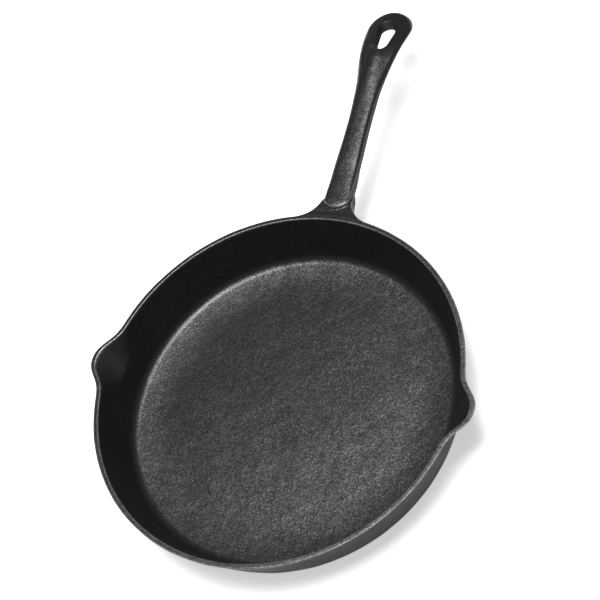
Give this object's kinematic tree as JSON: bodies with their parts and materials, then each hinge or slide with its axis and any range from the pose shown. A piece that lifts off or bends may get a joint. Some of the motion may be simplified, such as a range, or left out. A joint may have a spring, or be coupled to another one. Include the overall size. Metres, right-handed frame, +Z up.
{
  "type": "cast iron skillet",
  "caption": "Round cast iron skillet: shallow flared pan, flat base, a pour spout on each side, and a long oval handle that ends in a round eye with a teardrop hanging hole.",
  "frame": {"origin": "centre of the flat base, on the surface that the pan stands on", "axes": "+Z up, out of the pan; +Y from the pan's centre along the handle; +X through the right-hand pour spout"},
  "size_m": [0.3284, 0.5019, 0.0649],
  "materials": {
    "seasoned_floor": "satin black seasoning over fine sand-cast grain",
    "seasoned_wall": "satin black seasoning, smoother than the floor, worn lighter on the rim's edges",
    "seasoned_handle": "satin black seasoning over fine sand-cast grain"
  },
  "bodies": {
    "root": {"pan_floor": "seasoned_floor", "side_wall": "seasoned_wall", "left_pour_spout": "seasoned_wall", "right_pour_spout": "seasoned_wall", "handle_root": "seasoned_handle", "handle_grip": "seasoned_handle", "hanging_eye": "seasoned_handle"}
  },
  "joints": []
}
